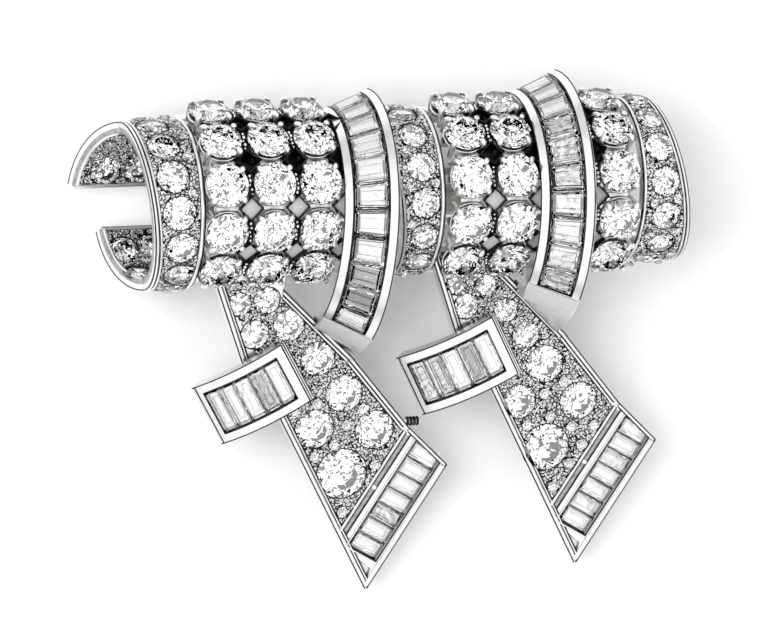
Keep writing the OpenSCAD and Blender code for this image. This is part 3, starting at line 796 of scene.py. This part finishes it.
TURNED_RADIUS = 7.2
TURNED_FROM = 92
TURNED_STONES = ((-26.7, 150, 3.1), (-23.3, 150, 3.0), (-25.2, -144, 2.9), (-22.5, -147, 2.5),
                 (-24.6, -113, 3.0))
TURNED_RIGHT = -18.5
CUT_ANGLE = 162.6
FLIP = Matrix.Rotation(math.pi, 4, "X")
drop = moved(0, LEFT_DROP, 0)
cut = copies("cut_turn_left", brilliant,
             [drop @ roll_place(x, a, TURNED_RADIUS + SUNK) @ FLIP @ sized(d) for x, a, d in TURNED_STONES],
             diamond)
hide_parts("pave_turn_left")
turn_wires = []
sheets = []
for label, sign, edge_x, slope in (("upper", 1, -26.81, 0.42), ("lower", -1, -24.99, 0.31)):
    here = [(x, a, d) for x, a, d in TURNED_STONES if a * sign > 0]
    unrolled = [(x, math.radians(abs(a)) * TURNED_RADIUS, d) for x, a, d in here]

    def on_turn(x, run, reach):
        z = TURNED_RADIUS * math.cos(run / TURNED_RADIUS)
        low_run = math.radians(TURNED_FROM) * TURNED_RADIUS + reach
        high_run = math.radians(CUT_ANGLE - 2) * TURNED_RADIUS - reach
        return edge_x + slope * z + 0.5 + reach < x < TURNED_RIGHT and low_run < run < high_run

    def to_turn(x, run):
        return drop @ roll_place(x, sign * math.degrees(run / TURNED_RADIUS), TURNED_RADIUS) @ FLIP

    set_field("turn_" + label, to_turn, unrolled, (-31, 11), (-18, 21), on_turn)
    start, stop = sorted((sign * TURNED_FROM, sign * CUT_ANGLE))
    sheet = bent_wire(TURNED_RADIUS, 0, 1, 0.05, start, stop)
    for v in sheet.data.vertices:
        from_x = edge_x + slope * v.co.z + 0.35
        v.co.x = from_x + (v.co.x + 0.5) * (TURNED_RIGHT - from_x)
    drill(sheet, [roll_place(x, a, TURNED_RADIUS) for x, a, d in here], [d / 2 + 0.05 for x, a, d in here])
    sheets.append(sheet)
    turn_wires.append(bent_wire(TURNED_RADIUS, LEFT_EDGE + 0.2, 0.3, 0.3, start, stop, turned_edge))
    cut_z = TURNED_RADIUS * math.cos(math.radians(CUT_ANGLE))
    from_x = edge_x + slope * cut_z + 0.1
    clear_selection()
    bpy.ops.mesh.primitive_cylinder_add(vertices=8, radius=0.5, depth=1, rotation=(0, math.pi / 2, 0))
    wire = bpy.context.object
    bpy.ops.object.transform_apply(rotation=True)
    wire.data.transform(roll_place((from_x + TURNED_RIGHT) / 2, sign * CUT_ANGLE, TURNED_RADIUS)
                        @ Matrix.Diagonal((TURNED_RIGHT - from_x, 0.36, 0.3, 1)))
    turn_wires.append(wire)
wire_piece("ground_turn_left", sheets, drop, ground)
wire_piece("rims_turn_left", turn_wires, drop, platinum)

# The inner half of the wall's slanted end is coloured satin grey as painted shade, so the bright edge looks
# thin
wall_shade_ring = bent_wire(TURNED_RADIUS + 0.27, LEFT_EDGE - 0.01, 0.08, 0.52, -WALL_END, WALL_END, turned_edge)
wire_piece("wall_end_shade", [wall_shade_ring], drop, satin)

# The tails
# The ribbon's flat ends, of platinum, each set with stones that grow towards its tip. Wires are
# soldered along the edges and round the end frame, with a slot cut between frame and tail. Lines of
# painted shade run beside the wires, and a grey strip of painted shade lies in the slot.

TAIL_Y = -9
TAIL_Z = 3.2
TAIL_LEAN = 17
TAIL_SHIFT = 22.4
TAIL_RISE = 1.5


def tail_place(side):
    return (moved(0, TAIL_Y, TAIL_Z) @ turned(TAIL_LEAN, "X")
            @ moved(side * TAIL_SHIFT, side * TAIL_RISE, 0))


TAIL_STONES = (
    ("tail_left", ((-15.9, -1.7, 2.4), (-13.1, -1.4, 2.7), (-14.2, -4.9, 2.9), (-10.7, -4.1, 3.2),
                   (-7.5, -7.7, 3.5), (-4.6, -11.5, 3.8), (-7.5, -15.1, 4.0), (-1.2, -15.5, 4.0),
                   (-4.4, -20.0, 5.2))),
    ("tail_right", ((-16.0, -1.9, 2.4), (-12.7, -2.3, 2.2), (-14.7, -4.4, 2.6), (-10.4, -5.0, 2.5),
                    (-8.1, -7.7, 2.8), (-5.9, -10.9, 3.9), (-8.4, -14.8, 3.6), (-2.0, -15.0, 3.9),
                    (-5.2, -19.8, 4.9))),
)
# Each edge of the set part: a point on it, and a direction that has the set part on its left
TAIL_EDGES = (((-4.0, -7.7), (-7.5, 7.4)), ((2.4, -15.4), (-6.4, 7.7)), ((2.4, -16.35), (0.518, 0.855)),
              ((-13.6, -9.2), (12.4, -23.5)), ((-18.9, 1.8), (3.7, -10.1)), ((-11.2, 1.5), (-1, 0)))
SET_MARGIN = 0.8


def beside(x, y, edge):
    (a, b), (u, v) = edge
    return (u * (y - b) - v * (x - a)) / math.hypot(u, v)


def on_tail_face(x, y, reach):
    return all(beside(x, y, edge) > SET_MARGIN + reach for edge in TAIL_EDGES)


clear_selection()
bpy.ops.mesh.primitive_cylinder_add(vertices=10, radius=0.5, depth=1, rotation=(0, math.pi / 2, 0))
straight_wire = bpy.context.object
bpy.ops.object.transform_apply(rotation=True)
bpy.ops.object.shade_smooth_by_angle(angle=math.radians(50))


def along(p, q, width, height, level=0.02):
    run = math.hypot(q[0] - p[0], q[1] - p[1])
    turn = Matrix.Rotation(math.atan2(q[1] - p[1], q[0] - p[0]), 4, "Z")
    middle = moved((p[0] + q[0]) / 2, (p[1] + q[1]) / 2, level)
    return middle @ turn @ Matrix.Diagonal((run, width, height, 1))


# Moves a line sideways by an inset, and shortens it by as much at both ends, for its corners
def inward(p, q, inset):
    run = math.hypot(q[0] - p[0], q[1] - p[1])
    u = (q[0] - p[0]) / run * abs(inset)
    v = (q[1] - p[1]) / run * abs(inset)
    side = math.copysign(1, inset)
    return (p[0] - side * v + u, p[1] + side * u + v), (q[0] - side * v - u, q[1] + side * u - v)


# Where the two lines of the tip end, just short of its point
TIP_LEFT = (-1.29, -32.53)
TIP_RIGHT = (-1.08, -32.5)
# Lines along the edges: start, end, and pairs of inset and width
TAIL_LINES = (
    ((-15.2, -8.3), (-18.9, 1.8), ((0.25, 0.4), (0.6, 0.2))),
    (TIP_LEFT, (-13.6, -9.2), ((0.25, 0.4), (0.6, 0.2))),
    ((-4.3, -7.34), (2.4, -15.4), ((0.22, 0.34), (0.6, 0.26))),
    ((-11.5, -0.3), (-3.66, -8.03), ((0.22, 0.34), (0.6, 0.26))),
    ((2.4, -15.4), (6.7, -19.6), ((0.2, 0.3),)),
    ((6.7, -19.6), TIP_RIGHT, ((0.3, 0.56),)),
)
# Lines of painted shade beside the wires: start, end, and insets
TAIL_SHADE_LINES = (
    ((-15.2, -8.3), (-18.9, 1.8), (0.02, 0.48, 0.76)),
    (TIP_LEFT, (-13.6, -9.2), (0.02, 0.48, 0.76)),
    ((-4.3, -7.34), (2.4, -15.4), (0.02, 0.42, 0.78)),
    ((-11.5, -0.3), (-3.66, -8.03), (0.02, 0.42, 0.78)),
    ((2.4, -15.4), (6.7, -19.6), (0.02, 0.38)),
    ((6.7, -19.6), TIP_RIGHT, (0.0,)),
)
SLOT_FROM = 0.5
SLOT_TO = 12.3
SLOT_MIDDLE = -0.33
SLOT_WIDTH = 0.48
POST_FROM = 6.6
POST_TO = 6.95
PEG_Y = -15.2
PEG_Z = -1.2
PEG_RINGS = (2.6, 2.95, 3.3, 3.65)
# The same along the end frame, in its own place
END_CORNER = (2.9, -16.0)
END_TURN = -121.2
END_LINES = (
    ((0.3, -0.84), (12.3, -0.84), ((0.0, 0.34),)),
    ((0.5, 0.62), (13.4, 0.62), ((0.0, 0.18),)),
    ((1.3, 4.48), (13.4, 4.48), ((0.0, 0.18),)),
    ((13.45, 0.7), (13.45, 4.4), ((0.0, 0.2),)),
)
# Lines of painted shade along the end frame
END_SHADE_LINES = (
    ((0.3, -1.05), (12.2, -1.05), (0.0,)),
    ((0.3, -0.64), (12.4, -0.64), (0.0,)),
    ((0.3, -0.04), (12.6, -0.04), (0.0,)),
    ((0.5, 0.66), (13.35, 0.66), (0.0,)),
    ((1.3, 4.4), (13.35, 4.4), (0.0,)),
    ((13.35, 0.66), (13.35, 4.42), (0.0,)),
)
end_place = moved(*END_CORNER, 0) @ turned(END_TURN, "Z")
for side, (name, stones) in enumerate(TAIL_STONES):
    place = tail_place(side)
    seats = [place @ moved(x, y, -0.05) @ sized(d) for x, y, d in stones]
    cut = copies("cut_" + name, brilliant, seats, diamond)
    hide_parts("pave_" + name)
    set_field(name, lambda x, y: place @ moved(x, y, 0), stones, (-19, -30), (7, 2), on_tail_face)

    clear_selection()
    bpy.ops.mesh.primitive_cube_add(size=1, location=(-6, -14, 0), scale=(40, 44, 0.05))
    sheet = bpy.context.object
    bpy.ops.object.transform_apply(location=True, scale=True)
    drill(sheet, [moved(x, y, 0) for x, y, d in stones], [d / 2 + 0.03 for x, y, d in stones])
    start_editing()
    inset = SET_MARGIN - 0.1
    for (a, b), (u, v) in TAIL_EDGES:
        run = math.hypot(u, v)
        point = (a - v / run * inset, b + u / run * inset, 0)
        bpy.ops.mesh.select_all(action="SELECT")
        bpy.ops.mesh.bisect(plane_co=point, plane_no=(v / run, -u / run, 0), use_fill=True,
                            clear_outer=True)
    stop_editing()
    wire_piece("ground_" + name, [sheet], place, ground)

    lines = []
    for ground_place, edges in ((place, TAIL_LINES), (place @ end_place, END_LINES)):
        for p, q, strips in edges:
            for inset, width in strips:
                lines.append(ground_place @ along(*inward(p, q, -inset), width, min(0.34, 1.2 * width)))
    copies("rims_" + name, straight_wire, lines, platinum)
    # The dark lines are painted shade
    lines = []
    for ground_place, edges in ((place, TAIL_SHADE_LINES), (place @ end_place, END_SHADE_LINES)):
        for p, q, insets in edges:
            for inset in insets:
                lines.append(ground_place @ along(*inward(p, q, -inset), LINE, LINE, 0.05))
    copies("shade_lines_" + name, straight_wire, lines, painted_shade)
    # A satin grey strip in the slot is painted shade, standing for the shaded surface seen through it
    slot_shade = along((SLOT_FROM, SLOT_MIDDLE), (SLOT_TO, SLOT_MIDDLE), SLOT_WIDTH, 0.1, 0)
    copies("slot_shade_" + name, straight_wire, [place @ end_place @ slot_shade], satin)
    post = along((POST_FROM, SLOT_MIDDLE), (POST_TO, SLOT_MIDDLE), SLOT_WIDTH + 0.1, 0.3, 0.03)
    copies("slot_post_" + name, straight_wire, [place @ end_place @ post], platinum)

# Fine ribs round the peg that fits the other clip, coloured dark as painted shade
clear_selection()
bpy.ops.mesh.primitive_torus_add(major_radius=0.35, minor_radius=0.15, major_segments=20, minor_segments=6,
                                 rotation=(0, math.pi / 2, 0))
peg_ring = bpy.context.object
bpy.ops.object.transform_apply(rotation=True)
copies("peg_shade_rings", peg_ring, [tail_place(0) @ moved(x, PEG_Y, PEG_Z) for x in PEG_RINGS], painted_shade)

copies("small_stones", single_cut, small_places, diamond)

# The step-cut stones
# Baguettes stand side by side in channels, with no metal between them. Each has a long table with
# three steps down to its edge, and three below. The channel's floor is polished under each stone.

FLOOR_DEPTH = 0.925
JOINT_DEPTH = 0.45
JOINT = 0.07
GAP = 0.12
RIM = 0.9
SCORE = 0.045
SCORE_DEPTH = -0.84
GIRDLE_LEVEL = -0.23
GIRDLE_HEIGHT = 0.06
# Steps above the girdle: how far in, and how high
CROWN_STEPS = ((0.07, 0.09), (0.09, 0.07), (0.1, 0.04))
# Steps below it: how far in, as a share of half the narrower end, and how deep
PAVILION_STEPS = ((0.1, 0.26), (0.12, 0.2), (0.14, 0.1))
floor_places = []
shade_joint_places = []
score_places = []


def floor_under(place, length, width):
    return place @ moved(0, 0, -FLOOR_DEPTH) @ Matrix.Diagonal((0.96 * length, width, 0.04, 1))


# Two fine lines scored along a stone's seat and one across each end, coloured dark so that they show
# through the stone as painted dark reflections
def scored(place, length, width):
    lines = [(place @ moved(0, share * width, SCORE_DEPTH), 0.62 * length) for share in (-0.2, 0.2)]
    lines += [(place @ moved(share * length, 0, SCORE_DEPTH) @ QUARTER, 0.5 * width)
              for share in (-0.33, 0.33)]
    return [line @ Matrix.Diagonal((run, SCORE, SCORE, 1)) for line, run in lines]


# A dark sheet of painted shade in the gap between two stones
def shade_joint(place, length):
    return place @ moved(0, 0, -JOINT_DEPTH) @ Matrix.Diagonal((0.97 * length, JOINT, 0.5, 1))


# Stones are never seated quite level, which makes each flash at its own moment
def seated():
    return (turned(hand.uniform(-1.3, 1.3), "X")
            @ turned(hand.uniform(-0.8, 0.8), "Y"))


def step_cut(length, near, far):
    clear_selection()
    bpy.ops.mesh.primitive_cube_add(size=1, location=(0, 0, GIRDLE_LEVEL), scale=(length, 1, GIRDLE_HEIGHT))
    stone = bpy.context.object
    bpy.ops.object.transform_apply(location=True, scale=True)
    for v in stone.data.vertices:
        v.co.y *= near + (far - near) * (v.co.x / length + 0.5)
    start_editing()
    deep = min(near, far) / 2
    for way, share, steps in ((1, 1, CROWN_STEPS), (-1, deep, PAVILION_STEPS)):
        select_ends(stone, way)
        for inset, height in steps:
            bpy.ops.mesh.inset(thickness=inset * share, depth=height)
    stop_editing()
    return stone


# The arcs
# Two flared channels of platinum, bent over the roll beside the claw-set stones and filled with
# baguettes side by side. Plates of matt white gold close them below the last stone.

# Place along the roll, height, lean in degrees, number of baguettes
ARCS = (("arc_left", -7.3, -2.5, -4.7, 11), ("arc_right", 13.1, -1.4, -2.4, 10))
ARC_RADIUS = 10.9
FLARE_RADIUS = 13.3
ARC_WIDTH = 4.8
ARC_TOP = 84
ARC_STEP = 13.2
# Degrees from the last stone to each plate
ARC_PLATES = (3.6, 8.0, 12.4)
slant = math.atan2(FLARE_RADIUS - ARC_RADIUS, ARC_WIDTH)
face_width = math.hypot(FLARE_RADIUS - ARC_RADIUS, ARC_WIDTH)
step = math.radians(ARC_STEP)
near_width = (ARC_RADIUS + RIM * math.sin(slant)) * step - JOINT - 0.03
far_width = (FLARE_RADIUS - RIM * math.sin(slant)) * step - JOINT - 0.03
arc_channel = face_width - 2 * RIM
arc_stone = step_cut(arc_channel - 2 * GAP, near_width, far_width)
for name, x, y, lean, count in ARCS:
    place = moved(x, y, 0) @ turned(lean, "Z")

    def on_arc(angle):
        return (place @ roll_place(ARC_WIDTH / 2, angle, (ARC_RADIUS + FLARE_RADIUS) / 2)
                @ Matrix.Rotation(-slant, 4, "Y"))

    row = [on_arc(ARC_TOP - (i + 0.5) * ARC_STEP) for i in range(count)]
    floor_places += [floor_under(seat, arc_channel, near_width) for seat in row]
    for seat in row:
        score_places += scored(seat, arc_channel, near_width)
    shade_joint_places += [shade_joint(on_arc(ARC_TOP - i * ARC_STEP), arc_channel) for i in range(1, count + 1)]
    cut = copies("cut_" + name, arc_stone, [seat @ seated() for seat in row], diamond)
    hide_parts("baguettes_" + name)
    arc_end = ARC_TOP - count * ARC_STEP
    # Lines of painted shade along the channel's borders
    lines = [bent_wire(ARC_RADIUS + across * math.sin(slant), across * math.cos(slant), LINE, LINE,
                       arc_end, ARC_TOP)
             for across in (0.02, RIM - 0.02, face_width - RIM + 0.02, face_width - 0.02)]
    wire_piece("shade_lines_" + name, lines, place, painted_shade)
    pads = [on_arc(arc_end - across) @ moved(0, 0, 0.02) @ Matrix.Diagonal((face_width - 0.2, 1.1, 0.06, 1))
            for across in ARC_PLATES]
    copies("plates_" + name, straight_wire, pads, pale)

# The buckles
# A bent platinum plate over each tail, with five baguettes in a channel along it. Its right end is
# stepped, with bright lips and dark lines of painted shade between them.

# Middle of the right edge, turn, angle of the bend
BUCKLES = (("buckle_left", (-10.6, -8.3), 28, 47), ("buckle_right", (-11.2, -7.95), 25.5, 51))
BUCKLE_RADIUS = 10.6
BUCKLE_WIDTH = 6.5
BUCKLE_CHANNEL = BUCKLE_WIDTH - 2 * RIM
BUCKLE_LIFT = 2.5
BUCKLE_RISE = 11
BUCKLE_START = 8
BUCKLE_END = 5
BUCKLE_COUNT = 5
# Wires of the end face: reach beyond the end, and depth below the top
DARK_STEPS = ((0.08, 0.1), (0.4, 0.4), (0.8, 0.8))
BRIGHT_STEPS = ((0.24, 0.24), (0.6, 0.6))
QUARTER_BACK = Matrix.Rotation(-math.pi / 2, 4, "Z")
for side, (name, (x, y), turn_angle, bend) in enumerate(BUCKLES):
    place = (tail_place(side) @ moved(x, y, BUCKLE_LIFT) @ turned(-BUCKLE_RISE, "X")
             @ turned(turn_angle, "Z")
             @ moved(-BUCKLE_RADIUS * math.sin(math.radians(BUCKLE_START)), 0, -BUCKLE_RADIUS))

    def on_bend(angle, beyond=0, below=0):
        return (place @ turned(angle, "Y")
                @ moved(beyond, 0, BUCKLE_RADIUS - below) @ QUARTER)

    angle_step = (BUCKLE_START + bend - 2 * BUCKLE_END) / BUCKLE_COUNT
    width = BUCKLE_RADIUS * math.radians(angle_step) - 0.08
    stone = step_cut(BUCKLE_CHANNEL - 2 * GAP, width, width)
    row = [on_bend(BUCKLE_START - BUCKLE_END - (i + 0.5) * angle_step) for i in range(BUCKLE_COUNT)]
    floor_places += [floor_under(seat, BUCKLE_CHANNEL, width) for seat in row]
    for seat in row:
        score_places += scored(seat, BUCKLE_CHANNEL, width)
    cut = copies("cut_" + name, stone, [seat @ seated() for seat in row], diamond)
    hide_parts("baguettes_" + name)
    bpy.data.objects.remove(stone)
    half = BUCKLE_WIDTH / 2
    # Lines of painted shade along the channel and the plate's edges
    lines = [bent_wire(BUCKLE_RADIUS, across, 0.08, 0.08, BUCKLE_END - bend, BUCKLE_START - BUCKLE_END)
             for across in (RIM - 0.02 - half, half - RIM + 0.02)]
    lines += [bent_wire(BUCKLE_RADIUS, across, LINE, LINE, -bend, BUCKLE_START)
              for across in (0.03 - half, half - 0.03)]
    wire_piece("shade_lines_" + name, lines, place @ QUARTER_BACK, painted_shade)
    # Across the ends, and between the lips, lines of painted shade
    ends = [on_bend(BUCKLE_START - BUCKLE_END) @ Matrix.Diagonal((BUCKLE_CHANNEL, 0.1, 0.1, 1)),
            on_bend(BUCKLE_END - bend) @ Matrix.Diagonal((BUCKLE_CHANNEL, LINE, LINE, 1)),
            on_bend(1.6 - bend) @ Matrix.Diagonal((BUCKLE_WIDTH - 0.1, LINE, LINE, 1))]
    ends += [on_bend(BUCKLE_START, beyond, below) @ Matrix.Diagonal((BUCKLE_WIDTH - 0.1, 0.18, 0.34, 1))
             for beyond, below in DARK_STEPS]
    copies("end_shade_" + name, straight_wire, ends, painted_shade)
    ends = [on_bend(BUCKLE_START, beyond, below) @ Matrix.Diagonal((BUCKLE_WIDTH - 0.1, 0.24, 0.34, 1))
            for beyond, below in BRIGHT_STEPS]
    copies("lips_" + name, straight_wire, ends, platinum)

# The end frames
# A straight platinum channel along each tail's lower right edge, with seven baguettes. Thin walls of
# matt white gold line it, and they show through the stones.

END_COUNT = 7
END_PITCH = 1.8
END_START = 0.6
END_RIM = 0.75
END_CHANNEL = 3.6
END_TOP = END_RIM + END_CHANNEL
end_stone = step_cut(END_CHANNEL - 0.14, END_PITCH - 0.06, END_PITCH - 0.06)

# The first stone's outer end is cut along the tail's edge
first_stone = bpy.data.objects.new("first_stone", end_stone.data.copy())
bpy.context.scene.collection.objects.link(first_stone)
first_stone.data.transform(moved(END_START + END_PITCH / 2, END_RIM + END_CHANNEL / 2, 0) @ QUARTER)
clear_selection()
bpy.context.view_layer.objects.active = first_stone
first_stone.select_set(True)
start_editing()
bpy.ops.mesh.select_all(action="SELECT")
bpy.ops.mesh.bisect(plane_co=(0.38, 0, 0), plane_no=(-0.974, 0.226, 0), use_fill=True, clear_outer=True)
stop_editing()
walls = []
for side, name in enumerate(("end_left", "end_right")):
    place = tail_place(side) @ end_place
    row = [place @ moved(END_START + (i + 0.5) * END_PITCH, END_RIM + END_CHANNEL / 2, 0) @ QUARTER
           for i in range(END_COUNT)]
    floor_places += [floor_under(seat, END_CHANNEL, END_PITCH) for seat in row]
    for seat in row:
        score_places += scored(seat, END_CHANNEL, END_PITCH)
    walls += [place @ along((from_x, y), (END_START + END_COUNT * END_PITCH, y), 0.05, 0.66, -0.42)
              for from_x, y in ((END_START, END_RIM + 0.03), (END_START + 0.8, END_TOP - 0.03))]
    stones = [(end_stone, seat @ seated()) for seat in row[1:]] + [(first_stone, place)]
    cut = make_piece("cut_" + name, stones, diamond)
    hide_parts("baguettes_" + name)

# The channels' floors, joints of painted shade and scored lines
# Under each baguette lies a platinum plate with a raised rim. Dark sheets of painted shade stand
# between the arcs' stones, and lines scored with a graver, coloured dark as painted reflections,
# show through every baguette.

# Platinum burnished to a mirror under the stones: bright, with a faint wave
WAVES_PER_MM = 0.5
bright, tree, where = new_material("mirror_platinum")
wave = add_node(tree, "TexNoise", {}, {"Vector": where, "Scale": WAVES_PER_MM / MM, "Detail": 2.0})
dents = add_node(tree, "Bump", {},
                 {"Height": wave.outputs["Fac"], "Strength": 0.3, "Distance": 0.05 * MM})
shade = add_node(tree, "BsdfPrincipled", {},
                 {"Normal": dents.outputs[0], "Base Color": from_hex("#FDFCFA"),
                  "Metallic": 1.0, "Roughness": 0.3})
add_node(tree, "OutputMaterial", {}, {"Surface": shade.outputs[0]})
clear_selection()
bpy.ops.mesh.primitive_cube_add(size=1)
channel_floor = bpy.context.object
start_editing()
select_ends(channel_floor, 1)
bpy.ops.mesh.inset(thickness=0.1, depth=-0.2)
stop_editing()
copies("channel_floors", channel_floor, floor_places, bright)
copies("channel_joint_shade", straight_wire, shade_joint_places, painted_shade)
copies("channel_scores_painted_dark", straight_wire, score_places, painted_shade)
copies("channel_walls", straight_wire, walls, pale)

for pattern in (brilliant, channel_floor, claw, collet_ring, opening_frame, window_shade_plate, link, single_cut,
                grain, seat_shade_line, peg_ring, straight_wire, arc_stone, end_stone, first_stone):
    bpy.data.objects.remove(pattern)

low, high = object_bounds()
